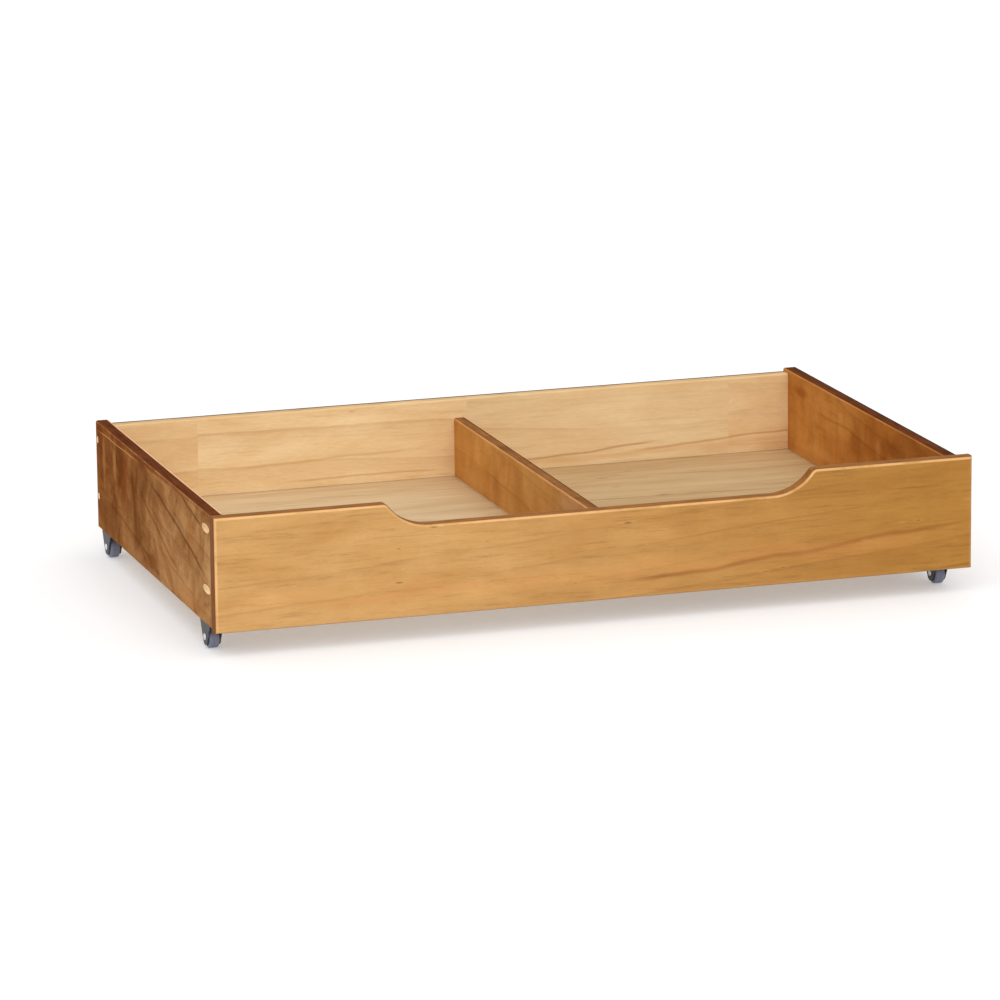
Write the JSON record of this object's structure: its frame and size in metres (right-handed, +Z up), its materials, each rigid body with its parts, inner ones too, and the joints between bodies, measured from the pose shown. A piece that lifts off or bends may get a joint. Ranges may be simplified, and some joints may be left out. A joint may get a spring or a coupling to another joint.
{
  "type": "under bed box",
  "caption": "Low open-topped wooden storage box for under a bed, with a scooped front board, a middle divider, a plywood floor and small fixed castors whose wheels spin.",
  "frame": {"origin": "on the floor, under the middle of the outer box", "axes": "+X along the long front board towards the end where it overhangs, +Y from the front to the back, +Z up"},
  "size_m": [0.8356, 0.5, 0.1481],
  "materials": {
    "front_pine": "honey stain under satin lacquer",
    "side_pine": "darker brown stain under satin lacquer",
    "back_pine": "pale honey stain under satin lacquer",
    "divider_pine": "orange-brown stain under satin lacquer",
    "plywood": "pale rotary-cut veneer, matt",
    "pale_wood": "raw",
    "zinc_steel": "zinc plated",
    "rivet_steel": "bright nickel plated",
    "bracket_steel": "semi-gloss black-grey coat",
    "wheel_plastic": "blue-grey moulded plastic"
  },
  "bodies": {
    "box": {"front_panel": "front_pine", "left_side_panel": "side_pine", "right_side_panel": "side_pine", "back_panel": "back_pine", "divider": "divider_pine", "bottom_panel": "plywood", "pocket_screws": "zinc_steel", "rear_screws": "zinc_steel", "rear_screw_plugs": "pale_wood", "divider_dowels": "pale_wood", "divider_screws": "zinc_steel", "caster_screws": "zinc_steel", "front_left_caster_bracket": "bracket_steel", "front_left_axle": "rivet_steel", "front_right_caster_bracket": "bracket_steel", "front_right_axle": "rivet_steel", "rear_left_caster_bracket": "bracket_steel", "rear_left_axle": "rivet_steel", "rear_right_caster_bracket": "bracket_steel", "rear_right_axle": "rivet_steel"},
    "front_left_wheel_body": {"front_left_wheel": "wheel_plastic"},
    "front_right_wheel_body": {"front_right_wheel": "wheel_plastic"},
    "rear_left_wheel_body": {"rear_left_wheel": "wheel_plastic"},
    "rear_right_wheel_body": {"rear_right_wheel": "wheel_plastic"}
  },
  "joints": [
    {"name": "front_left_wheel_spin", "type": "hinge", "parent": "box", "child": "front_left_wheel_body", "pos_m": [-0.4093, -0.2025, 0.012], "axis": [1, 0, 0], "continuous": true},
    {"name": "front_right_wheel_spin", "type": "hinge", "parent": "box", "child": "front_right_wheel_body", "pos_m": [0.39645, -0.2025, 0.012], "axis": [1, 0, 0], "continuous": true},
    {"name": "rear_left_wheel_spin", "type": "hinge", "parent": "box", "child": "rear_left_wheel_body", "pos_m": [-0.4093, 0.2175, 0.012], "axis": [1, 0, 0], "continuous": true},
    {"name": "rear_right_wheel_spin", "type": "hinge", "parent": "box", "child": "rear_right_wheel_body", "pos_m": [0.39645, 0.2175, 0.012], "axis": [1, 0, 0], "continuous": true}
  ]
}
